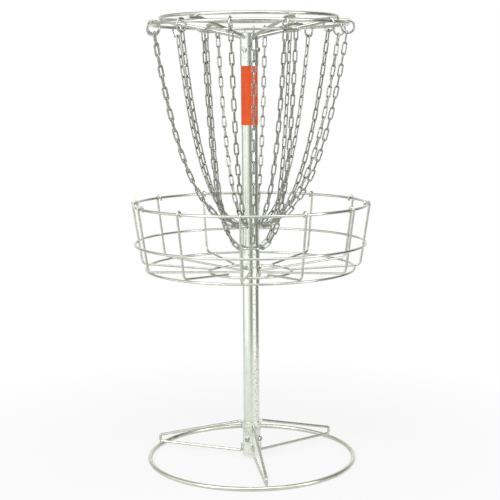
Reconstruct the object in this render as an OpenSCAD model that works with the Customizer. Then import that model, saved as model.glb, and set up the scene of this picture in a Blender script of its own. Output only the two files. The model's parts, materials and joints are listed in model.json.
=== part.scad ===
// Disc golf basket: a galvanised pole on a ring base, a wire tray and two sets of catching chains.
// Millimetres. The origin is the centre of the base ring on the floor, +Z is up and -Y is the front.
// Every azimuth is counted from the front, positive towards +X.

/* [Pole] */
// Outer diameter of the pole
pole_od = 47.6; // [40:0.1:52]
// Wall of the pole tube
pole_wall = 2.8; // [2:0.1:4]
// Height of the pole's lower end above the floor
pole_foot_z = 12; // [5:1:40]
// Depth of the pole's upper end below the top sleeve's edge
pole_top_inset = 4; // [1:1:15]
// Height of the coloured band
band_h = 169; // [80:1:220]
// Thickness of the coloured band
band_wall = 0.6; // [0.4:0.1:1.5]

/* [Sleeves] */
// Wall of the three sleeves that slide over the pole
sleeve_wall = 3; // [2:0.1:5]
// Height of the base sleeve
base_sleeve_h = 103; // [80:1:140]
// Height of the base sleeve's lower edge
base_sleeve_z = 10; // [4:1:20]
// Height of the tray sleeve
tray_sleeve_h = 95; // [70:1:130]
// Length of the tray sleeve below the floor wires
tray_sleeve_drop = 33; // [24:1:50]
// Height of the top sleeve
top_sleeve_h = 92; // [60:1:130]
// Length of the top sleeve above the spokes
top_sleeve_lip = 3; // [1:1:10]

/* [Set screws] */
// Thread diameter of the set screws
screw_d = 8; // [5:0.5:10]
// Width of a screw head across its flats
screw_head_af = 13; // [8:0.5:17]
// Height of a screw head
screw_head_h = 5.3; // [3:0.1:8]
// Azimuth of the first screw in the base and top sleeves
screw_azimuth = -28; // [-40:1:-20]
// Angle between the two screws in the base and top sleeves
screw_spread = 90; // [80:5:120]

/* [Base] */
// Radius of the base ring at its centre line
base_ring_r = 305.5; // [250:0.5:350]
// Rod diameter of the base ring
base_ring_d = 12.7; // [9:0.1:16]
// Rod diameter of the legs
leg_d = 8; // [6:0.5:10]
// Azimuth of the first leg
leg_azimuth = 7.5; // [0:0.5:15]
// Height of a leg's upper rod at the sleeve
leg_upper_z = 110; // [95:1:112]
// Height of a leg's lower rod at the sleeve
leg_lower_z = 17.5; // [16:0.5:30]
// Length of each upright end that is welded to the sleeve
leg_weld = 23; // [16:1:28]
// Height of the drop at a leg's outer end
leg_drop = 19.5; // [17:0.5:30]
// Reach of a leg past the centre line of the base ring
leg_overhang = 2.5; // [1:0.5:7]
// Bend radius of a leg
leg_bend = 7; // [6:0.5:8]

/* [Tray] */
// Radius of the tray's rim at its centre line
rim_r = 341.3; // [300:0.1:360]
// Height of the rim
rim_z = 769; // [740:1:900]
// Wire diameter of the rim
rim_d = 8; // [6:0.1:10]
// Azimuth of the first rib
rib_azimuth = -4.5; // [-8:0.5:0]
// Wire diameter of the ribs
rib_d = 6.5; // [5:0.1:8]
// Inward lean of the ribs
rib_lean = 8.6; // [4:0.1:12]
// Depth of the tray from the rim to the floor wires
tray_depth = 180; // [150:1:220]
// Bend radius between a rib and its floor wire
rib_bend = 17; // [12:1:30]
// Length of a rib's tail below the rim, inside the tray
rib_tail = 8; // [4:1:20]
// Downward slope of the floor towards the pole
floor_slope = 4.1; // [2:0.1:6]
// Length of the upright end of a floor wire at the sleeve
floor_weld = 16; // [12:1:20]
// Bend radius at the end of a floor wire
floor_bend = 8; // [6:0.5:9]
// Depth of the middle ring below the rim
middle_ring_drop = 114.4; // [80:0.1:140]
// Distance of the bottom ring inward from the bends between the ribs and their floor wires
bottom_ring_inset = 1; // [0:0.5:60]
// Radius of the inner floor ring
floor_ring_r = 121.2; // [90:0.1:180]
// Reach of a short floor wire past the inner floor ring
floor_overhang = 6; // [3:1:12]
// Wire diameter of the middle, bottom and floor rings
tray_ring_d = 7; // [5:0.1:9]

/* [Top] */
// Radius of the outer ring that carries the outer chains
outer_ring_r = 285.6; // [270:0.1:310]
// Height of the outer ring
outer_ring_z = 1285.6; // [1250:0.1:1400]
// Rod diameter of the outer and upper rings
top_ring_d = 9.5; // [7:0.1:11]
// Radius of the upper ring that lies on the spokes
upper_ring_r = 254.5; // [243:0.1:260]
// Radius of the inner ring that carries the inner chains
inner_ring_r = 147; // [130:0.5:165]
// Rod diameter of the inner ring
inner_ring_d = 6; // [5:0.1:8]
// Rod diameter of the spokes
spoke_d = 10.5; // [8:0.1:12]
// Azimuth of the first spoke
spoke_azimuth = -34; // [-36:0.5:-20]
// Rise of a spoke from the sleeve to the outer ring
spoke_rise = 44; // [30:1:60]
// Radius at which a spoke becomes level
spoke_level_r = 236; // [215:1:242]
// Bend radius of a spoke
spoke_bend = 40; // [20:1:60]
// Reach of a spoke past the outer ring's centre line
spoke_overhang = 5; // [2:1:8]

/* [Chains] */
// Wire diameter of a chain link
link_d = 4.2; // [3.8:0.1:4.6]
// Inside length of a chain link
link_inside_l = 31.5; // [29:0.1:33]
// Azimuth of the first outer chain
outer_azimuth = -10; // [-12:0.5:-8]
// Links in an outer chain, an even number
outer_links = 20; // [18:2:22]
// Sag length of the outer chains: a longer one makes them straighter
outer_sag = 100; // [80:1:120]
// Links in an inner chain, an odd number
inner_links = 21; // [19:2:21]
// Sag length of the inner chains
inner_sag = 32; // [28:1:55]
// Radius of a slide link at its centre line
slide_link_r = 18; // [15:0.5:22]
// Wire diameter of a slide link
slide_link_d = 6; // [5:0.1:8]
// Inward lean of the slide links
slide_link_lean = 10; // [5:1:30]
// Radius of the upper ring that gathers the outer chains
upper_gather_r = 53; // [48:0.5:60]
// Radius of the lower ring that gathers the inner chains
lower_gather_r = 40; // [37:0.5:46]
// Rod diameter of both gather rings
gather_d = 6; // [5:0.1:8]

/* [Clearances] */
// Gap between the pole and each sleeve
sleeve_clearance = 0.25; // [0.1:0.05:0.5]
// Gap between two wires at a weld
weld_gap = 0.15; // [0.1:0.05:0.3]
// Gap between two links of a chain
link_gap = 0.3; // [0.2:0.05:0.4]
// Gap around a set screw and under its head
screw_gap = 0.2; // [0.1:0.05:0.4]
// Gap between the pole and the coloured band
band_gap = 0.1; // [0.05:0.05:0.3]

/* [Hidden] */
$fn = 48;
ring_fn = 180;
link_fn = 32;
// Bends are a trace thicker than the rods that run into them, so that the two join in one solid
bend_swell = 0.06;
bend_lap = 0.3;
// Length by which a bore runs past both ends of its tube
bore_past = 1;
sleeve_bore_r = pole_od / 2 + sleeve_clearance;
sleeve_r = sleeve_bore_r + sleeve_wall;

// Legs: the lower bend at a leg's outer end lies on top of the base ring
leg_count = 3;
leg_weld_r = sleeve_r + leg_d / 2 + weld_gap;
leg_end_r = base_ring_r + leg_overhang;
leg_reach = (base_ring_d + leg_d) / 2 + weld_gap + leg_bend;
leg_inset = max(0, leg_bend - leg_overhang);
leg_seat_z = base_ring_d / 2 + sqrt(leg_reach * leg_reach - leg_inset * leg_inset) - leg_bend;

// Ribs: the hook wraps the rim, then the rib leans in and turns into a floor wire
hook_r = rim_d / 2 + weld_gap + rib_d / 2;
floor_z = rim_z - tray_depth;
function rib_line_r(z, offset) =
    rim_r + (offset + (z - rim_z) * sin(rib_lean)) / cos(rib_lean);
function floor_wire_z(r) = floor_z - (rib_line_r(floor_z, hook_r) - r) * tan(floor_slope);
function under_floor_z(r) =
    floor_wire_z(r) - rib_d / 2 / cos(floor_slope) - weld_gap - tray_ring_d / 2;
rib_count = 12;
rib_pitch = 360 / rib_count;
hook_flat = 0.2;
floor_weld_r = sleeve_r + weld_gap + rib_d / 2;
rib_bend_reach = rib_bend * tan((90 - rib_lean - floor_slope) / 2) * cos(floor_slope);
bottom_ring_r = rib_line_r(floor_z, hook_r) - rib_bend_reach - bottom_ring_inset;
middle_ring_z = rim_z - middle_ring_drop;
middle_ring_r = rib_line_r(middle_ring_z, hook_r + rib_d / 2 + weld_gap + tray_ring_d / 2);
tray_sleeve_z = floor_wire_z(floor_weld_r) - tray_sleeve_drop;

// Spokes: they lie on the outer ring, the upper ring lies on them and the inner ring hangs below
spoke_count = 6;
spoke_outer_z = outer_ring_z + top_ring_d / 2 + weld_gap + spoke_d / 2;
spoke_inner_z = spoke_outer_z - spoke_rise;
spoke_angle = atan(spoke_rise / (spoke_level_r - sleeve_r));
upper_ring_z = spoke_outer_z + spoke_d / 2 + weld_gap + top_ring_d / 2;
inner_ring_z = spoke_inner_z + (inner_ring_r - sleeve_r) * tan(spoke_angle)
    - (spoke_d + inner_ring_d) / 2 / cos(spoke_angle) - weld_gap;
top_sleeve_z = spoke_inner_z + spoke_d / 2 + top_sleeve_lip - top_sleeve_h;
pole_top_z = top_sleeve_z + top_sleeve_h - pole_top_inset;

// Set screws: two in each sleeve, halfway up, clear of the floor wires in the tray
tray_screw_azimuth = rib_azimuth - rib_pitch;
tray_screw_spread = 4 * rib_pitch;

// Hyperbolic functions for the hanging curve
function sinh(x) = (exp(x) - exp(-x)) / 2;
function cosh(x) = (exp(x) + exp(-x)) / 2;
function asinh(x) = ln(x + sqrt(x * x + 1));
function acosh(x) = ln(x + sqrt(x * x - 1));
function sum(list, count) = count == 0 ? 0 : list[count - 1] + sum(list, count - 1);

// A link is wide enough inside for the thickest wire that it holds
link_inside_w = max(link_d, gather_d, slide_link_d, inner_ring_d) + 2 * link_gap;
// Distance from a link's centre to a wire of diameter d that lies inside the end of the link
function seat(d) = link_inside_l / 2 - d / 2 - link_gap;
// Distances between the hinge points of a chain, from its top wire to its gather ring.
// A crosswise link turns about its own end wires, a radial link about the wires that it holds.
cross_span = link_inside_l + link_d;
radial_span = 2 * seat(link_d);
end_span = seat(link_d) + seat(gather_d);
outer_spans = [for (i = [0:outer_links - 1])
    i == outer_links - 1 ? end_span : i % 2 == 0 ? cross_span : radial_span];
inner_spans = [for (i = [0:inner_links - 1])
    i == 0 ? seat(inner_ring_d) + seat(link_d)
    : i == inner_links - 1 ? end_span
    : i % 2 == 1 ? cross_span : radial_span];

// A hanging curve from a top point to a gather ring of a given radius, for a given length:
// [sag length, ring radius, curve value at the ring, curve value at the top, top height]
function hanging(top, ring_r, sag, length) =
    let (half = (top[0] - ring_r) / (2 * sag))
    let (mid = acosh(length / (2 * sag * sinh(half))))
    [sag, ring_r, mid - half, mid + half, top[1]];
// The point [radius, height] on a hanging curve at a distance down from its top
function hang_point(curve, down) =
    let (u = asinh(sinh(curve[3]) - down / curve[0]))
    [curve[1] + curve[0] * (u - curve[2]), curve[4] - curve[0] * (cosh(curve[3]) - cosh(u))];

// Slide links hang on the outer ring and hold the outer chains
slide_dir = [-sin(slide_link_lean), -cos(slide_link_lean)];
slide_centre = [outer_ring_r, outer_ring_z]
    + slide_dir * (slide_link_r - (slide_link_d + top_ring_d) / 2 - link_gap);
outer_top = slide_centre + slide_dir * (slide_link_r - (slide_link_d + link_d) / 2 - link_gap);
outer_curve = hanging(outer_top, upper_gather_r, outer_sag, sum(outer_spans, outer_links));
inner_top = [inner_ring_r, inner_ring_z];
inner_curve = hanging(inner_top, lower_gather_r, inner_sag, sum(inner_spans, inner_links));
upper_gather_z = hang_point(outer_curve, sum(outer_spans, outer_links))[1];
lower_gather_z = hang_point(inner_curve, sum(inner_spans, inner_links))[1];
// Inner chains hang halfway between two outer chains
outer_chains = 12;
inner_chains = 6;
outer_pitch = 360 / outer_chains;
inner_azimuth = outer_azimuth + outer_pitch / 2;

steel = [0.74, 0.76, 0.74];
tube_steel = [0.70, 0.73, 0.70];
chain_steel = [0.62, 0.64, 0.63];
screw_steel = [0.45, 0.47, 0.47];
band_colour = [0.86, 0.22, 0.10];

function two_digits(i) = i < 10 ? str("0", i) : str(i);
function numbered(name, count) = [for (i = [1:count]) str(name, "_", two_digits(i))];

// Turns a shape drawn in the XZ plane, with X as the radius, to an azimuth
module at_azimuth(azimuth) {
    rotate([0, 0, azimuth - 90]) children();
}

// A closed ring of round rod
module rod_ring(r, d, z) {
    translate([0, 0, z]) rotate_extrude($fn = ring_fn) translate([r, 0]) circle(d = d);
}

// A straight round rod between two points of the XZ plane
module rod(from, to, d) {
    run = to - from;
    translate([from[0], 0, from[1]])
        rotate([0, atan2(run[0], run[1]), 0]) cylinder(h = norm(run), d = d);
}

// A quarter or other part of a bend around a centre in the XZ plane
module rod_bend(centre, start, turn, r, d) {
    translate([centre[0], 0, centre[1]]) rotate([90, 0, 0]) rotate([0, 0, start])
        rotate_extrude(angle = turn) translate([r, 0]) circle(d = d);
}

// Unit vector, the turn from one direction to another, and a left-hand normal
function unit(v) = v / norm(v);
function turn_between(a, b) = atan2(a[0] * b[1] - a[1] * b[0], a * b);
function left_of(v) = [-v[1], v[0]];

// One rod bent in the XZ plane: corner points, and a bend radius for each inner corner
module bent_rod(points, bends, d) {
    last = len(points) - 1;
    runs = [for (i = [0:last - 1]) unit(points[i + 1] - points[i])];
    turns = [for (i = [1:last - 1]) turn_between(runs[i - 1], runs[i])];
    cuts = concat([0], [for (i = [0:last - 2]) bends[i] * tan(abs(turns[i]) / 2)], [0]);
    laps = concat([0], [for (i = [0:last - 2]) bend_lap], [0]);
    for (i = [0:last - 1])
        rod(points[i] + runs[i] * (cuts[i] - laps[i]),
            points[i + 1] - runs[i] * (cuts[i + 1] - laps[i + 1]), d);
    for (i = [0:last - 2]) {
        side = sign(turns[i]);
        enter = points[i + 1] - runs[i] * cuts[i + 1];
        centre = enter + left_of(runs[i]) * side * bends[i];
        leave = points[i + 1] + runs[i + 1] * cuts[i + 1];
        first = (side > 0 ? enter : leave) - centre;
        rod_bend(centre, atan2(first[1], first[0]), abs(turns[i]), bends[i], d + bend_swell);
    }
}

// A sleeve around the pole with a hole for each set screw
module sleeve(z, h, azimuth, spread) {
    color(tube_steel) difference() {
        translate([0, 0, z]) cylinder(h = h, r = sleeve_r, $fn = ring_fn);
        translate([0, 0, z - bore_past])
            cylinder(h = h + 2 * bore_past, r = sleeve_bore_r, $fn = ring_fn);
        for (turn = [0, spread]) at_azimuth(azimuth + turn)
            translate([0, 0, z + h / 2]) rotate([0, 90, 0])
                cylinder(h = 2 * sleeve_r, d = screw_d + 2 * screw_gap);
    }
}

// Two hexagon-headed set screws that press on the pole
module set_screws(z, h, azimuth, spread) {
    head_r = sleeve_r + screw_gap;
    color(screw_steel) for (turn = [0, spread]) at_azimuth(azimuth + turn)
        translate([0, 0, z + h / 2]) rotate([0, 90, 0]) {
            translate([0, 0, pole_od / 2 + screw_gap])
                cylinder(h = head_r - pole_od / 2 - screw_gap, d = screw_d);
            translate([0, 0, head_r])
                cylinder(h = screw_head_h, d = screw_head_af / cos(30), $fn = 6);
        }
}

module pole() {
    h = pole_top_z - pole_foot_z;
    color(tube_steel) translate([0, 0, pole_foot_z]) difference() {
        cylinder(h = h, d = pole_od, $fn = ring_fn);
        translate([0, 0, -bore_past])
            cylinder(h = h + 2 * bore_past, d = pole_od - 2 * pole_wall, $fn = ring_fn);
    }
}

// A thin coloured wrap on the pole, right below the top sleeve
module colour_band() {
    inner_r = pole_od / 2 + band_gap;
    color(band_colour) translate([0, 0, top_sleeve_z - weld_gap - band_h]) difference() {
        cylinder(h = band_h, r = inner_r + band_wall, $fn = ring_fn);
        translate([0, 0, -bore_past]) cylinder(h = band_h + 2 * bore_past, r = inner_r, $fn = ring_fn);
    }
}

module base_sleeve() {
    sleeve(base_sleeve_z, base_sleeve_h, screw_azimuth, screw_spread);
}

module base_set_screws() {
    set_screws(base_sleeve_z, base_sleeve_h, screw_azimuth, screw_spread);
}

module base_ring() {
    color(steel) rod_ring(base_ring_r, base_ring_d, base_ring_d / 2);
}

// One rod, bent out along the top, down at the ring and back along the floor
module base_leg(i) {
    color(steel) at_azimuth(leg_azimuth + (i - 1) * 360 / leg_count) bent_rod([
        [leg_weld_r, leg_upper_z - leg_weld],
        [leg_weld_r, leg_upper_z],
        [leg_end_r, leg_seat_z + leg_drop],
        [leg_end_r, leg_seat_z],
        [leg_weld_r, leg_lower_z],
        [leg_weld_r, leg_lower_z + leg_weld]
    ], [leg_bend, leg_bend, leg_bend, leg_bend], leg_d);
}

module tray_sleeve() {
    sleeve(tray_sleeve_z, tray_sleeve_h, tray_screw_azimuth, tray_screw_spread);
}

module tray_set_screws() {
    set_screws(tray_sleeve_z, tray_sleeve_h, tray_screw_azimuth, tray_screw_spread);
}

module tray_rim() {
    color(steel) rod_ring(rim_r, rim_d, rim_z);
}

module tray_middle_ring() {
    color(steel) rod_ring(middle_ring_r, tray_ring_d, middle_ring_z);
}

module tray_bottom_ring() {
    color(steel) rod_ring(bottom_ring_r, tray_ring_d, under_floor_z(bottom_ring_r));
}

module tray_floor_ring() {
    color(steel) rod_ring(floor_ring_r, tray_ring_d, under_floor_z(floor_ring_r));
}

// One wire: a hook over the rim, a leaning rib and a floor wire. Every second one reaches the sleeve.
module tray_rib(i) {
    reaches_sleeve = i % 2 == 1;
    end_r = reaches_sleeve ? floor_weld_r : floor_ring_r - floor_overhang;
    end = [end_r, floor_wire_z(end_r)];
    wall = [
        [rim_r - hook_r, rim_z - rib_tail],
        [rim_r - hook_r, rim_z + hook_r],
        [rib_line_r(rim_z + hook_r, hook_r), rim_z + hook_r],
        [rib_line_r(floor_z, hook_r), floor_z],
        end
    ];
    bends = [hook_r - hook_flat, hook_r - hook_flat, rib_bend];
    color(steel) at_azimuth(rib_azimuth + (i - 1) * rib_pitch)
        if (reaches_sleeve)
            bent_rod(concat(wall, [end - [0, floor_weld]]), concat(bends, [floor_bend]), rib_d);
        else
            bent_rod(wall, bends, rib_d);
}

module top_sleeve() {
    sleeve(top_sleeve_z, top_sleeve_h, screw_azimuth, screw_spread);
}

module top_set_screws() {
    set_screws(top_sleeve_z, top_sleeve_h, screw_azimuth, screw_spread);
}

// A rod that rises from the sleeve and lies level on the outer ring, coped to fit the sleeve
module top_spoke(i) {
    color(steel) at_azimuth(spoke_azimuth + (i - 1) * 360 / spoke_count) difference() {
        bent_rod([
            [sleeve_bore_r, spoke_inner_z - sleeve_wall * tan(spoke_angle)],
            [spoke_level_r, spoke_outer_z],
            [outer_ring_r + spoke_overhang, spoke_outer_z]
        ], [spoke_bend], spoke_d);
        translate([0, 0, spoke_inner_z - spoke_rise])
            cylinder(h = 2 * spoke_rise, r = sleeve_r + weld_gap, $fn = ring_fn);
    }
}

module top_outer_ring() {
    color(steel) rod_ring(outer_ring_r, top_ring_d, outer_ring_z);
}

module top_upper_ring() {
    color(steel) rod_ring(upper_ring_r, top_ring_d, upper_ring_z);
}

module top_inner_ring() {
    color(steel) rod_ring(inner_ring_r, inner_ring_d, inner_ring_z);
}

// A welded chain link in the XZ plane, its length along Z
module link() {
    bend_r = (link_inside_w + link_d) / 2;
    straight = link_inside_l - link_inside_w;
    for (side = [0, 1]) mirror([0, 0, side]) {
        rod_bend([0, straight / 2], 0, 180, bend_r, link_d);
    }
    for (side = [-1, 1])
        rod([side * bend_r, -straight / 2], [side * bend_r, straight / 2], link_d);
}

// Links hung from hinge point to hinge point along a curve. first_cross says how the top link lies.
module chain(curve, spans, first_cross) {
    count = len(spans);
    for (i = [0:count - 1]) {
        upper = hang_point(curve, sum(spans, i));
        lower = hang_point(curve, sum(spans, i + 1));
        up = unit(upper - lower);
        crosswise = (i % 2 == 0) == first_cross;
        // The wire held at the far end of a radial link may be thicker than chain wire
        shift = crosswise ? 0
            : i == count - 1 ? (seat(gather_d) - seat(link_d)) / 2
            : i == 0 ? (seat(link_d) - seat(inner_ring_d)) / 2 : 0;
        centre = (upper + lower) / 2 + up * shift;
        translate([centre[0], 0, centre[1]]) rotate([0, atan2(up[0], up[1]), 0])
            rotate([0, 0, crosswise ? 90 : 0]) link($fn = link_fn);
    }
}

// A slide link on the outer ring and the chain below it
module outer_chain(i) {
    color(chain_steel) at_azimuth(outer_azimuth + (i - 1) * outer_pitch) {
        rod_bend(slide_centre, 0, 360, slide_link_r, slide_link_d);
        chain(outer_curve, outer_spans, true);
    }
}

module inner_chain(i) {
    color(chain_steel) at_azimuth(inner_azimuth + (i - 1) * 360 / inner_chains)
        chain(inner_curve, inner_spans, false);
}

module upper_gather_ring() {
    color(chain_steel) rod_ring(upper_gather_r, gather_d, upper_gather_z);
}

module lower_gather_ring() {
    color(chain_steel) rod_ring(lower_gather_r, gather_d, lower_gather_z);
}

pole();
colour_band();
base_sleeve();
base_set_screws();
base_ring();
for (i = [1:leg_count]) base_leg(i);
tray_sleeve();
tray_set_screws();
tray_rim();
tray_middle_ring();
tray_bottom_ring();
tray_floor_ring();
for (i = [1:rib_count]) tray_rib(i);
top_sleeve();
top_set_screws();
for (i = [1:spoke_count]) top_spoke(i);
top_outer_ring();
top_upper_ring();
top_inner_ring();
for (i = [1:outer_chains]) outer_chain(i);
for (i = [1:inner_chains]) inner_chain(i);
upper_gather_ring();
lower_gather_ring();
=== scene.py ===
"""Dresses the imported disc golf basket: zinc-coated steel, weld beads, screws, a plain band, a pale studio."""
import json
import math
import random

import bmesh
import bpy
from mathutils import Matrix, Vector


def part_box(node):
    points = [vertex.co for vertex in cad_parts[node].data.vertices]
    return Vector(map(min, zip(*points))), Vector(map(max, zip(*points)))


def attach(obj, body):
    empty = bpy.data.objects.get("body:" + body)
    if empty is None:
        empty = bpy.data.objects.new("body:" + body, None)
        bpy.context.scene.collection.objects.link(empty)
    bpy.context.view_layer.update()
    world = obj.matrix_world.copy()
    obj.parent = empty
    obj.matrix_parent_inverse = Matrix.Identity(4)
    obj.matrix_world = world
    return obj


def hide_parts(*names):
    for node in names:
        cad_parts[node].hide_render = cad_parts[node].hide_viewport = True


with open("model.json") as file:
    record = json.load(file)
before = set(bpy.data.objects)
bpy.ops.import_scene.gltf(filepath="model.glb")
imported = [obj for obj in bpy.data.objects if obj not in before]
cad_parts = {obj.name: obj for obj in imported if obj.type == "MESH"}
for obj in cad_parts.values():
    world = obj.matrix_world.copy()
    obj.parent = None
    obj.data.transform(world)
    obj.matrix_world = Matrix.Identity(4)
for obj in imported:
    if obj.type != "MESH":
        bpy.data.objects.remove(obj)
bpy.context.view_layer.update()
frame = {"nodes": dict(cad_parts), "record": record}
NODES = frame["nodes"]
MM = 0.001
WHITE = (1.0, 1.0, 1.0, 1.0)

# Sizes of the solids, in millimetres, where the scene's own pieces sit on them
POLE_R, SLEEVE_CLEARANCE, SLEEVE_WALL = 23.8, 0.25, 3.0
SLEEVE_R = POLE_R + SLEEVE_CLEARANCE + SLEEVE_WALL
WELD_GAP = 0.15
RIM_R, RIM_Z, RIM_D = 341.3, 769.0, 8.0
RIB_D, RIB_LEAN = 6.5, math.radians(8.6)
RIB_AZ = [-4.5 + 30.0 * i for i in range(12)]
HOOK_R = (RIM_D + RIB_D) / 2 + WELD_GAP
TRAY_DEPTH, MIDDLE_DROP = 180.0, 114.4
FLOOR_Z, MIDDLE_Z = RIM_Z - TRAY_DEPTH, RIM_Z - MIDDLE_DROP
FLOOR_SLOPE = math.radians(4.1)
FLOOR_WELD, FLOOR_BEND = 16.0, 8.0
BOTTOM_R, FLOOR_R = 307.0, 121.2
BASE_RING_R, BASE_RING_D = 305.5, 12.7
LEG_D, LEG_WELD, LEG_BEND, LEG_OVERHANG = 8.0, 23.0, 7.0, 2.5
LEG_AZ = [7.5 + 120.0 * i for i in range(3)]
LEG_UPPER_Z, LEG_LOWER_Z = 110.0, 17.5
OUTER_R, OUTER_Z, TOP_RING_D = 285.6, 1285.6, 9.5
UPPER_R, INNER_R, INNER_RING_D = 254.5, 147.0, 6.0
SPOKE_D, SPOKE_RISE, SPOKE_LEVEL_R = 10.5, 44.0, 236.0
SPOKE_AZ = [-34.0 + 60.0 * i for i in range(6)]
SPOKE_OUTER_Z = OUTER_Z + (TOP_RING_D + SPOKE_D) / 2 + WELD_GAP
SPOKE_INNER_Z = SPOKE_OUTER_Z - SPOKE_RISE
SPOKE_ANGLE = math.atan(SPOKE_RISE / (SPOKE_LEVEL_R - SLEEVE_R))
SCREW_AF, SCREW_H, SCREW_D, SCREW_GAP = 13.0, 5.3, 8.0, 0.2
SCREW_AZ, TRAY_SCREW_AZ = (-28.0, 62.0), (-34.5, 85.5)


def link_to_scene(obj):
    bpy.context.scene.collection.objects.link(obj)
    return obj


def mesh_object(name, bm, material, smooth=True):
    mesh = bpy.data.meshes.new(name)
    bm.to_mesh(mesh)
    bm.free()
    for poly in mesh.polygons:
        poly.use_smooth = smooth
    mesh.materials.append(material)
    return link_to_scene(bpy.data.objects.new(name, mesh))


# Camera: fitted to the photograph's rings and pole
FOCAL_PX, IMAGE_PX, SENSOR_MM = 1185.2, 500.0, 36.0
CAMERA_AT, CLIP_END = (-0.0014, -3.4595, 1.125), 60.0
PITCH_DOWN, ROLL = math.radians(8.114), math.radians(-0.385)
cam_data = bpy.data.cameras.new("camera")
cam_data.sensor_fit = "HORIZONTAL"
cam_data.sensor_width = SENSOR_MM
cam_data.lens = FOCAL_PX / IMAGE_PX * SENSOR_MM
cam_data.clip_end = CLIP_END
camera = link_to_scene(bpy.data.objects.new("camera", cam_data))
camera.matrix_world = (
    Matrix.Translation(CAMERA_AT)
    @ Matrix.Rotation(math.pi / 2 - PITCH_DOWN, 4, "X")
    @ Matrix.Rotation(ROLL, 4, "Z")
)
bpy.context.scene.camera = camera
bpy.context.scene.view_settings.view_transform = "Standard"


# Materials
class Nodes:
    """A short way to write a node tree."""

    def __init__(self, tree):
        self.tree = tree
        tree.nodes.clear()

    def add(self, kind, inputs=None, **settings):
        node = self.tree.nodes.new(kind)
        for key, value in settings.items():
            setattr(node, key, value)
        for key, value in (inputs or {}).items():
            socket = node.inputs[key]
            if isinstance(value, bpy.types.NodeSocket):
                self.tree.links.new(value, socket)
            else:
                socket.default_value = value
        return node

    def place(self):
        """The frame's coordinates in metres, because every object sits at the origin."""
        return self.add("ShaderNodeTexCoord").outputs["Object"]

    def xyz(self, vector):
        return self.add("ShaderNodeSeparateXYZ", {"Vector": vector}).outputs

    def calc(self, operation, first, second):
        return self.add("ShaderNodeMath", {0: first, 1: second}, operation=operation).outputs["Value"]

    def measure(self, operation, *vectors):
        inputs = dict(enumerate(vectors))
        return self.add("ShaderNodeVectorMath", inputs, operation=operation).outputs["Value"]

    def spread(self, value, low, high, from_low=0.0, from_high=1.0, **settings):
        """Takes from_low to low and from_high to high, and stays level beyond them."""
        return self.add("ShaderNodeMapRange", {
            "Value": value, "From Min": from_low, "From Max": from_high, "To Min": low, "To Max": high},
            **settings).outputs["Result"]

    def noise(self, place, scale, detail, roughness, distortion=0.0, stretch=None):
        if stretch:
            place = self.add("ShaderNodeMapping", {"Vector": place, "Scale": stretch}).outputs["Vector"]
        return self.add("ShaderNodeTexNoise", {
            "Vector": place, "Scale": scale, "Detail": detail, "Roughness": roughness,
            "Distortion": distortion}).outputs["Fac"]

    def patches(self, place, scale, detail, roughness, begin, full, strength=1.0):
        """Noise cut into patches: 0 up to begin, and strength from full on."""
        return self.spread(self.noise(place, scale, detail, roughness), 0.0, strength, begin, full)

    def blend(self, factor, first, second, kind="FLOAT"):
        inputs = {"Factor": factor, "A": first, "B": second}
        return self.add("ShaderNodeMix", inputs, data_type=kind).outputs["Result"]

    def tint(self, factor, first, second):
        return self.blend(factor, first, second, "RGBA")

    def ramp(self, factor, stops):
        node = self.add("ShaderNodeValToRGB", {"Fac": factor})
        while len(node.color_ramp.elements) < len(stops):
            node.color_ramp.elements.new(0.5)
        for element, (pos, col) in zip(node.color_ramp.elements, stops):
            element.position = pos
            element.color = (*col, 1.0)
        return node.outputs["Color"]

    def grey_ramp(self, factor, stops):
        return self.ramp(factor, [(pos, (grey, grey, grey)) for pos, grey in stops])


def new_material(name):
    material = bpy.data.materials.new(name)
    material.use_nodes = True
    return material, Nodes(material.node_tree)


# Zinc: where the dark, middle and pale tones sit in the pattern, how much rougher the dark ones are and how
# much smoother the pale ones, and the size and share of the fine grain, the clouds and the cells
TONE_AT = (0.25, 0.5, 0.75)
DARK_ROUGHER, PALE_SMOOTHER = 0.07, 0.05
GRAIN_SCALE, GRAIN_SHARE, GRAIN_DEPTH = 6, 0.2, 0.5 * MM
CLOUD_SCALE, CELL_SHARE = 0.2, 0.3


def zinc(name, tones, metallic, rough, spangle, bump, pattern, finish=None):
    """Zinc-coated steel: a pattern of tones, fine grain and, where given, a finish of its own."""
    material, n = new_material(name)
    place = n.place()
    grain = n.noise(place, spangle * GRAIN_SCALE, detail=4.0, roughness=0.7)
    tone = n.blend(GRAIN_SHARE, pattern(n, place, spangle), grain)
    color = n.ramp(tone, list(zip(TONE_AT, tones)))
    if finish:
        color = finish(n, place, color)
    grainy = n.add("ShaderNodeBump", {"Height": grain, "Strength": bump, "Distance": GRAIN_DEPTH})
    shader = n.add("ShaderNodeBsdfPrincipled", {
        "Base Color": color, "Metallic": metallic, "Normal": grainy.outputs["Normal"],
        "Roughness": n.spread(tone, rough + DARK_ROUGHER, rough - PALE_SMOOTHER, TONE_AT[0], TONE_AT[-1])})
    n.add("ShaderNodeOutputMaterial", {"Surface": shader.outputs["BSDF"]})
    return material


def spangled(n, place, spangle):
    """Clouds with the flat cells of a zinc coat."""
    cells = n.add("ShaderNodeTexVoronoi", {"Vector": place, "Scale": spangle, "Randomness": 1.0})
    cell_tone = n.add("ShaderNodeSeparateColor", {"Color": cells.outputs["Color"]}).outputs["Red"]
    clouds = n.noise(place, spangle * CLOUD_SCALE, detail=6.0, roughness=0.6, distortion=0.4)
    return n.blend(CELL_SHARE, clouds, cell_tone)


# The pole's look passes into that of the sleeves between these radii, in mm
POLE_ENDS, SLEEVE_BEGINS = POLE_R + 0.8, POLE_R + 1.2
STREAK_STRETCH, SPANGLE_IN_STREAKS = (230.0, 230.0, 5.0), 0.35
SPECKLE = {"scale": 140.0, "detail": 5.0, "roughness": 0.75, "begin": 0.28, "full": 0.55}


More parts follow.
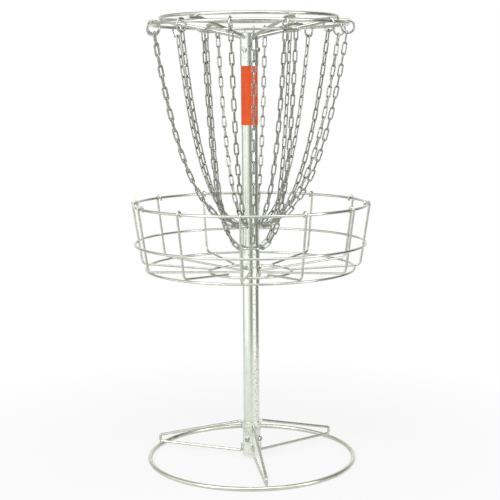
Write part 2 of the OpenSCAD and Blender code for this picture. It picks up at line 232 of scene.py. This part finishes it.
def on_sleeve(n, place):
    """1 on the outside of a sleeve, 0 on the pole."""
    level = n.add("ShaderNodeVectorMath", {0: place, 1: (1.0, 1.0, 0.0)}, operation="MULTIPLY")
    radius = n.measure("LENGTH", level.outputs["Vector"])
    return n.spread(radius, 0.0, 1.0, POLE_ENDS * MM, SLEEVE_BEGINS * MM)


def drawn_tube(n, place, spangle):
    """Streaks along the pole, and the rough speckle of the sleeves around it."""
    streaks = n.noise(place, scale=1.0, detail=4.0, roughness=0.55, stretch=STREAK_STRETCH)
    streaks = n.blend(SPANGLE_IN_STREAKS, streaks, spangled(n, place, spangle))
    return n.blend(on_sleeve(n, place), streaks, n.patches(place, **SPECKLE))


# Painted highlight: a paler streak on the front right of the pole and sleeve below the tray. It fades out
# upward in z, to the left in x and to the back in y, over these ranges in mm
PAINTED_HIGHLIGHT_Z, PAINTED_HIGHLIGHT_X, PAINTED_HIGHLIGHT_Y = (560.0, 600.0), (2.0, 9.0), (-12.0, 4.0)
PAINTED_HIGHLIGHT_TONE, PAINTED_HIGHLIGHT_SHARE = (0.97, 0.965, 0.90, 1.0), 0.8
FLECK = (0.30, 0.30, 0.265, 1.0)
COARSE = {"scale": 115.0, "detail": 3.0, "roughness": 0.6, "begin": 0.54, "full": 0.66, "strength": 0.6}
FINE = {"scale": 215.0, "detail": 2.0, "roughness": 0.6, "begin": 0.51, "full": 0.66, "strength": 0.65}


def flecks_and_painted_highlight(n, place, color):
    """Dark flecks on the sleeves, and a painted highlight: a paler front right below the tray, with finer
    flecks on the pole inside it.
    """
    sleeve = on_sleeve(n, place)
    where = n.xyz(place)
    below = n.spread(where["Z"], 1.0, 0.0, *(z * MM for z in PAINTED_HIGHLIGHT_Z))
    right = n.spread(where["X"], 0.0, 1.0, *(x * MM for x in PAINTED_HIGHLIGHT_X))
    front = n.spread(where["Y"], 1.0, 0.0, *(y * MM for y in PAINTED_HIGHLIGHT_Y))
    # Mask of the painted highlight: the front right of the pole and sleeves below the tray
    painted_highlight = n.calc("MULTIPLY", n.calc("MULTIPLY", below, right), front)
    # The painted highlight tints that front right paler
    color = n.tint(n.spread(painted_highlight, 0.0, PAINTED_HIGHLIGHT_SHARE), color, PAINTED_HIGHLIGHT_TONE)
    fine = n.calc("MULTIPLY", n.patches(place, **FINE), painted_highlight)
    coarse = n.calc("MULTIPLY", n.patches(place, **COARSE), sleeve)
    return n.tint(n.blend(sleeve, fine, coarse), color, FLECK)


# Marks on the base ring: place and reach in mm, colour and strength. They are patchy, and fade past a core.
RUST, STAIN = (0.36, 0.16, 0.10, 1.0), (0.13, 0.13, 0.11, 1.0)
MARKS = [((-244.0, 184.0, 11.0), 17.0, RUST, 0.85), ((303.0, 38.6, 9.0), 24.0, RUST, 0.35),
         ((-225.0, 206.4, 11.0), 8.0, STAIN, 0.6), ((-287.0, 105.0, 11.0), 8.0, STAIN, 0.7),
         ((236.6, -193.3, 4.0), 9.0, STAIN, 0.8)]
MARK_CORE = 0.35
MARK_PATCHES = {"scale": 160.0, "detail": 4.0, "roughness": 0.65, "begin": 0.36, "full": 0.56}
GROUND_ZINC, GROUND_SHARE = (0.72, 0.705, 0.60, 1.0), 0.55
GROUND_FULL_Z, GROUND_NONE_Z = 12.5 * MM, 18.0 * MM


def marked(n, place, color):
    """Warmer zinc close to the ground, with a little rust and a few stains."""
    grounded = n.spread(n.xyz(place)["Z"], GROUND_SHARE, 0.0, GROUND_FULL_Z, GROUND_NONE_Z)
    color = n.tint(grounded, color, GROUND_ZINC)
    patchy = n.patches(place, **MARK_PATCHES)
    for spot, reach, paint, strength in MARKS:
        off = n.measure("DISTANCE", place, [c * MM for c in spot])
        near = n.spread(off, strength, 0.0, MARK_CORE * reach * MM, reach * MM)
        color = n.tint(n.calc("MULTIPLY", near, patchy), color, paint)
    return color


# Share of paler zinc on the chains by height in mm
PALE_FROM, PALE_TO = 620.0, 1300.0
PALE_AT = [(620.0, 0.4), (652.0, 0.4), (664.0, 0.0), (692.0, 0.0), (700.0, 0.25), (716.0, 0.25), (730.0, 0.0),
           (1250.0, 0.0), (1270.0, 0.3)]
PALE_ZINC = (0.70, 0.73, 0.66, 1.0)


def pale_ends(n, place, color):
    """The chains are paler by height: at the slide links at the top, and at the gathered ends with their rings.
    """
    along = n.spread(n.xyz(place)["Z"], 0.0, 1.0, PALE_FROM * MM, PALE_TO * MM)
    stops = [((z - PALE_FROM) / (PALE_TO - PALE_FROM), share) for z, share in PALE_AT]
    return n.tint(n.grey_ramp(along, stops), color, PALE_ZINC)


ROD = zinc("galvanised_rod", ((0.49, 0.50, 0.44), (0.605, 0.62, 0.55), (0.71, 0.725, 0.65)),
           metallic=0.9, rough=0.16, spangle=130, bump=0.03, pattern=spangled, finish=marked)
TUBE = zinc("galvanised_tube", ((0.62, 0.65, 0.565), (0.80, 0.835, 0.74), (0.91, 0.945, 0.855)),
            metallic=0.88, rough=0.20, spangle=85, bump=0.06, pattern=drawn_tube, finish=flecks_and_painted_highlight)
CHAIN = zinc("chain_steel", ((0.15, 0.157, 0.135), (0.345, 0.36, 0.315), (0.59, 0.61, 0.55)),
             metallic=0.97, rough=0.12, spangle=240, bump=0.05, pattern=spangled, finish=pale_ends)
SCREW = zinc("screw_steel", ((0.24, 0.26, 0.24), (0.41, 0.44, 0.41), (0.60, 0.64, 0.60)),
             metallic=0.9, rough=0.22, spangle=300, bump=0.1, pattern=spangled)

BAND_TONES = [(0.3, (0.81, 0.087, 0.016)), (0.5, (0.87, 0.104, 0.020)), (0.72, (0.90, 0.132, 0.030))]
BAND_SCUFF, SCUFF_STRETCH = (0.92, 0.34, 0.2, 1.0), (900.0, 900.0, 40.0)


def band_material():
    """Plain vinyl: orange-red, a little faded, with fine scuffs along the pole."""
    material, n = new_material("band_vinyl")
    place = n.place()
    fade = n.noise(place, scale=24.0, detail=5.0, roughness=0.6)
    scuffs = n.noise(place, scale=1.0, detail=3.0, roughness=0.6, stretch=SCUFF_STRETCH)
    worn = n.spread(scuffs, low=0.0, high=0.35, from_low=0.66, from_high=0.82)
    roughness = n.spread(scuffs, low=0.3, high=0.46, from_low=0.3, from_high=0.75)
    ripple = n.add("ShaderNodeBump", {"Height": fade, "Strength": 0.12, "Distance": 1.0 * MM})
    shader = n.add("ShaderNodeBsdfPrincipled", {
        "Base Color": n.tint(worn, n.ramp(fade, BAND_TONES), BAND_SCUFF),
        "Roughness": roughness, "Normal": ripple.outputs["Normal"],
        "Specular IOR Level": 0.25, "Coat Weight": 0.06, "Coat Roughness": 0.25})
    n.add("ShaderNodeOutputMaterial", {"Surface": shader.outputs["BSDF"]})
    return material


BY_SLOT = {"galvanised_rod": ROD, "galvanised_tube": TUBE, "chain_steel": CHAIN, "screw_steel": SCREW,
           "colour_band": band_material()}
for part in frame["record"]["subparts"]:
    mesh = NODES[part["node"]].data
    mesh.materials.clear()
    mesh.materials.append(BY_SLOT[part["material_slot"]])
    for poly in mesh.polygons:
        poly.material_index = 0


# Weld beads: small uneven ellipsoids, one where two wires cross and rows of them along a seam
rng = random.Random(7)
BEAD_SMALLEST, BEAD_LARGEST = 0.92, 1.08
LUMP_HEIGHT, LUMP_RATE = 0.05, 4
CROSSING_WIDTH, CROSSING_DEPTH = 0.66, 0.24
SEAM_STRETCH, SEAM_SIDE = 1.25, 0.42


def unit_bead():
    """Points and faces of a round ball of radius 1."""
    bm = bmesh.new()
    bmesh.ops.create_icosphere(bm, subdivisions=2, radius=1.0)
    bmesh.ops.subdivide_edges(bm, edges=bm.edges, cuts=1, use_grid_fill=True)
    for v in bm.verts:
        v.co.normalize()
    co = [v.co.copy() for v in bm.verts]
    faces = [[v.index for v in f.verts] for f in bm.faces]
    bm.free()
    return co, faces


BEAD_CO, BEAD_FACES = unit_bead()


def add_bead(bm, centre, axes, radii):
    """One bead: centre in mm, three unit axes and the half sizes along them in mm."""
    wave = [rng.uniform(0, 2 * math.pi) for _ in range(3)]
    size = rng.uniform(BEAD_SMALLEST, BEAD_LARGEST)
    verts = []
    for c in BEAD_CO:
        lumpy = 1 + LUMP_HEIGHT * sum(math.sin(LUMP_RATE * c[i] + wave[i]) for i in range(3))
        offset = sum((axes[i] * (c[i] * radii[i] * lumpy * size) for i in range(3)), Vector())
        verts.append(bm.verts.new((centre + offset) * MM))
    for face in BEAD_FACES:
        bm.faces.new([verts[i] for i in face])


def around(azimuth):
    """Unit vectors outward, sideways and up at an azimuth counted from the front towards +X."""
    a = math.radians(azimuth)
    return Vector((math.sin(a), -math.cos(a), 0)), Vector((math.cos(a), math.sin(a), 0)), Vector((0, 0, 1))


def rib_line_r(z, offset):
    """Radius at a height on a line along the ribs, which is offset outward from the rim's centre."""
    return RIM_R + (offset + (z - RIM_Z) * math.sin(RIB_LEAN)) / math.cos(RIB_LEAN)


def floor_wire_z(r):
    """Height of a floor wire's axis at a radius."""
    return FLOOR_Z - (rib_line_r(FLOOR_Z, HOOK_R) - r) * math.tan(FLOOR_SLOPE)


def crossing(bm, at, axes, wire_d):
    """A weld where two wires cross at right angles: axes are the two wires and the line through both."""
    width = CROSSING_WIDTH * wire_d
    add_bead(bm, at, axes, (width, width, CROSSING_DEPTH * wire_d))


def sleeve_seams(bm, azimuth, wire_d, start_z, end_z, proud, count, r):
    """A row of beads on either side of an upright wire end on a sleeve: their middles stand proud of it."""
    out, side, up = around(azimuth)
    for s in (-1, 1):
        foot = out * (SLEEVE_R + proud) + side * (s * wire_d * SEAM_SIDE)
        start, end = foot + up * start_z, foot + up * end_z
        along = (end - start).normalized()
        for i in range(count):
            p = start.lerp(end, (i + 0.5) / count)
            add_bead(bm, p, (along, side, out), (SEAM_STRETCH * r, r, r))


TRAY_SEAM, TRAY_SEAM_RISE = {"proud": 1.0, "count": 4, "r": 1.7}, 3.0


def tray_welds():
    """Each rib on the rim, twice, on the other three rings and, for every second one, on the sleeve."""
    bm = bmesh.new()
    on_rim, on_rib = (RIM_D + WELD_GAP) / 2, (RIB_D + WELD_GAP) / 2
    bend_z = floor_wire_z(SLEEVE_R + RIB_D / 2) - FLOOR_BEND
    seam_top, seam_low = bend_z + TRAY_SEAM_RISE, bend_z - FLOOR_WELD + FLOOR_BEND
    for i, azimuth in enumerate(RIB_AZ):
        out, side, up = around(azimuth)
        crossing(bm, out * RIM_R + up * (RIM_Z + on_rim), (side, out, up), RIB_D)
        crossing(bm, out * rib_line_r(RIM_Z, on_rim) + up * RIM_Z, (side, up, out), RIB_D)
        crossing(bm, out * rib_line_r(MIDDLE_Z, HOOK_R + on_rib) + up * MIDDLE_Z, (side, up, out), RIB_D)
        for ring_r in (BOTTOM_R, FLOOR_R):
            crossing(bm, out * ring_r + up * (floor_wire_z(ring_r) - on_rib), (side, out, up), RIB_D)
        if i % 2 == 0:
            sleeve_seams(bm, azimuth, RIB_D, seam_top, seam_low, **TRAY_SEAM)
    return mesh_object("tray_welds", bm, ROD)


BASE_SEAM, BASE_SEAM_INSET = {"proud": 1.2, "count": 5, "r": 2.1}, 0.5


def base_welds():
    """Each leg's lower bend on the base ring, and its two upright ends on the sleeve."""
    bm = bmesh.new()
    lean = math.asin((LEG_BEND - LEG_OVERHANG) / ((BASE_RING_D + LEG_D) / 2 + WELD_GAP + LEG_BEND))
    for azimuth in LEG_AZ:
        out, side, up = around(azimuth)
        normal = up * math.cos(lean) - out * math.sin(lean)
        seat = out * BASE_RING_R + up * (BASE_RING_D / 2) + normal * ((BASE_RING_D + WELD_GAP) / 2)
        crossing(bm, seat, (side, out * math.cos(lean) + up * math.sin(lean), normal), LEG_D)
        for low in (LEG_UPPER_Z - LEG_WELD, LEG_LOWER_Z + LEG_BEND):
            high = low + LEG_WELD - LEG_BEND
            sleeve_seams(bm, azimuth, LEG_D, low + BASE_SEAM_INSET, high - BASE_SEAM_INSET, **BASE_SEAM)
    return mesh_object("base_welds", bm, ROD)


# A spoke's foot: a ring of beads, their half sizes, and how far they stand off sleeve and spoke, in mm
FOOT_BEADS, FOOT_BEAD_SIZE = 12, (2.3, 1.5, 1.7)
FOOT_OFF_SLEEVE, FOOT_OFF_SPOKE = 0.9, 0.4
INNER_WELD_D = INNER_RING_D * 1.15


def top_welds():
    """Each spoke on the outer, upper and inner rings, and around its foot on the sleeve."""
    bm = bmesh.new()
    on_outer, on_spoke = (TOP_RING_D + WELD_GAP) / 2, (SPOKE_D + WELD_GAP) / 2
    inner_z = SPOKE_INNER_Z + (INNER_R - SLEEVE_R) * math.tan(SPOKE_ANGLE)
    for azimuth in SPOKE_AZ:
        out, side, up = around(azimuth)
        crossing(bm, out * OUTER_R + up * (OUTER_Z + on_outer), (side, out, up), TOP_RING_D)
        crossing(bm, out * UPPER_R + up * (SPOKE_OUTER_Z + on_spoke), (side, out, up), TOP_RING_D)
        slope = out * math.cos(SPOKE_ANGLE) + up * math.sin(SPOKE_ANGLE)
        normal = up * math.cos(SPOKE_ANGLE) - out * math.sin(SPOKE_ANGLE)
        crossing(bm, out * INNER_R + up * inner_z - normal * on_spoke, (side, slope, normal), INNER_WELD_D)
        for k in range(FOOT_BEADS):
            turn = 2 * math.pi * k / FOOT_BEADS
            ring = side * math.cos(turn) + up * math.sin(turn)
            along = side * -math.sin(turn) + up * math.cos(turn)
            r = math.sqrt(SLEEVE_R ** 2 - (SPOKE_D / 2 * math.cos(turn)) ** 2) + FOOT_OFF_SLEEVE
            centre = out * r + up * SPOKE_INNER_Z + ring * (SPOKE_D / 2 + FOOT_OFF_SPOKE)
            add_bead(bm, centre, (along, ring, out), FOOT_BEAD_SIZE)
    return mesh_object("top_welds", bm, ROD)


for weld in (tray_welds(), base_welds(), top_welds()):
    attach(weld, "stand")


# Set screws: chamfered hexagon heads, slightly crowned, on plain shanks
SCREW_STEPS = 72
SCREW_ANGLES = [2 * math.pi * k / SCREW_STEPS for k in range(SCREW_STEPS)]
FLAT_R, CHAMFER = SCREW_AF / 2 * 0.93, math.radians(30)
CROWN_IN, CROWN_UP = 0.5, 0.05


def screw_outline(a):
    """Radius and height at an angle, in mm, from the shank's end to the top of the head."""
    hexagon_r = SCREW_AF / 2 / math.cos((a % (math.pi / 3)) - math.pi / 6)
    return [
        (SCREW_D / 2, -(SCREW_GAP + SLEEVE_WALL)),
        (SCREW_D / 2, 0.0),
        (hexagon_r, 0.0),
        (hexagon_r, SCREW_H - (hexagon_r - FLAT_R) * math.tan(CHAMFER)),
        (FLAT_R, SCREW_H),
        (FLAT_R - CROWN_IN, SCREW_H + CROWN_UP),
    ]


def screw_pair(name, node, azimuths):
    low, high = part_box(node)
    z = (low[2] + high[2]) / 2 / MM
    bm = bmesh.new()
    for azimuth in azimuths:
        out, side, up = around(azimuth)
        foot = out * (SLEEVE_R + SCREW_GAP) + up * z
        rings = []
        for level in zip(*(screw_outline(a) for a in SCREW_ANGLES)):
            rings.append([
                bm.verts.new((foot + out * h + (side * math.cos(a) + up * math.sin(a)) * r) * MM)
                for a, (r, h) in zip(SCREW_ANGLES, level)])
        for lower, upper in zip(rings, rings[1:]):
            for k in range(SCREW_STEPS):
                after = (k + 1) % SCREW_STEPS
                bm.faces.new((lower[k], lower[after], upper[after], upper[k]))
        bm.faces.new(list(reversed(rings[0])))
        bm.faces.new(rings[-1])
    bmesh.ops.recalc_face_normals(bm, faces=bm.faces)
    piece = mesh_object(name, bm, SCREW, smooth=False)
    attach(piece, "stand")
    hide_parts(node)


screw_pair("base_hex_screws", "base_set_screws", SCREW_AZ)
screw_pair("tray_hex_screws", "tray_set_screws", TRAY_SCREW_AZ)
screw_pair("top_hex_screws", "top_set_screws", SCREW_AZ)


# Studio: a pale floor, white behind the object and soft lamps. The camera sees the paper as white by a share
# that grows from its middle to its edge, and reflections see GLOSSY_FLOOR of that share.
PAPER_R, GLOSSY_FLOOR = 1.5, 0.5
PAPER_SEGMENTS, PAPER_GREY = 96, (0.8, 0.8, 0.8, 1.0)
FADE_FROM, FADE_TO, WHITE_SHARE = 0.45, PAPER_R - 0.1, 0.8


def pale_floor():
    """A disc of pale paper: it keeps a soft shadow near the object and fades out to white at its edge."""
    bm = bmesh.new()
    bmesh.ops.create_circle(bm, cap_ends=True, segments=PAPER_SEGMENTS, radius=PAPER_R)
    material, n = new_material("floor_paper")
    away = n.measure("LENGTH", n.place())
    share = n.spread(away, WHITE_SHARE, 1.0, FADE_FROM, FADE_TO, interpolation_type="SMOOTHSTEP")
    path = n.add("ShaderNodeLightPath").outputs
    seen = n.calc("MULTIPLY", path["Is Glossy Ray"], GLOSSY_FLOOR)
    for way in ("Is Camera Ray", "Is Transmission Ray"):
        seen = n.calc("MAXIMUM", seen, path[way])
    paper = n.add("ShaderNodeBsdfDiffuse", {"Color": PAPER_GREY})
    white = n.add("ShaderNodeEmission", {"Color": WHITE, "Strength": 1.0})
    mix = n.add("ShaderNodeMixShader", {
        "Fac": n.calc("MULTIPLY", seen, share), 1: paper.outputs[0], 2: white.outputs[0]})
    n.add("ShaderNodeOutputMaterial", {"Surface": mix.outputs[0]})
    floor = mesh_object("floor", bm, material, smooth=False)


pale_floor()


# Brightness of the room in reflections: its walls by the angle from the camera's side, in degrees towards +X,
# and its ceiling from front to back. WALL_ENDS and CEILING_BEGINS are how far upward a direction points.
ROOM = [(-180, 0.8), (-160, 0.75), (-146, 0.5), (-116, 0.36), (-96, 1.0), (-50, 1.0), (-24, 0.75), (-4, 0.26),
        (8, 0.12), (18, 0.16), (34, 0.85), (44, 1.0), (66, 1.0), (79, 0.2), (92, 0.10), (120, 0.12),
        (140, 0.45), (160, 0.75), (180, 0.8)]
CEILING = [(0.0, 1.0), (0.4, 1.0), (0.54, 0.34), (1.0, 0.34)]
WALL_ENDS, CEILING_BEGINS = 0.3, 0.75
ROOM_GLOSSY, AMBIENT = 1.3, 0.56


def studio_world():
    """White to the camera, an even light for the object, and a room of dark and pale walls in reflections."""
    world = bpy.data.worlds.new("studio")
    bpy.context.scene.world = world
    world.use_nodes = True
    n = Nodes(world.node_tree)
    way = n.xyz(n.add("ShaderNodeTexCoord").outputs["Generated"])
    angle = n.calc("ARCTAN2", way["X"], n.calc("MULTIPLY", way["Y"], -1.0))
    turn = n.spread(angle, 0.0, 1.0, -math.pi, math.pi)
    walls = n.grey_ramp(turn, [((degrees + 180) / 360, grey) for degrees, grey in ROOM])
    ceiling = n.grey_ramp(n.spread(way["Y"], 0.0, 1.0, -1.0, 1.0), CEILING)
    room = n.tint(n.spread(way["Z"], 0.0, 1.0, WALL_ENDS, CEILING_BEGINS), walls, ceiling)
    path = n.add("ShaderNodeLightPath").outputs
    mirrored = path["Is Glossy Ray"]
    seen = n.calc("MAXIMUM", path["Is Camera Ray"], path["Is Transmission Ray"])
    lit = n.add("ShaderNodeBackground", {
        "Color": n.tint(mirrored, WHITE, room), "Strength": n.blend(mirrored, AMBIENT, ROOM_GLOSSY)})
    white = n.add("ShaderNodeBackground", {"Color": WHITE, "Strength": 1.0})
    sky = n.add("ShaderNodeMixShader", {"Fac": seen, 1: lit.outputs[0], 2: white.outputs[0]})
    n.add("ShaderNodeOutputWorld", {"Surface": sky.outputs[0]})


studio_world()


def softbox(name, place, target, size, watts):
    """A rectangular lamp aimed at a point, in metres."""
    data = bpy.data.lights.new(name, "AREA")
    data.shape = "RECTANGLE"
    data.size, data.size_y = size
    data.energy = watts
    lamp = link_to_scene(bpy.data.objects.new(name, data))
    aim = Vector(target) - Vector(place)
    lamp.matrix_world = Matrix.Translation(place) @ aim.to_track_quat("-Z", "Y").to_matrix().to_4x4()


softbox("key", (-2.6, -2.4, 2.6), target=(0.0, 0.0, 0.8), size=(1.6, 2.2), watts=58.0)
softbox("fill", (3.2, -1.6, 1.6), target=(0.0, 0.0, 0.7), size=(1.0, 2.0), watts=20.0)
softbox("top", (0.2, -1.9, 3.4), target=(0.0, 0.0, 0.7), size=(3.0, 2.0), watts=32.0)
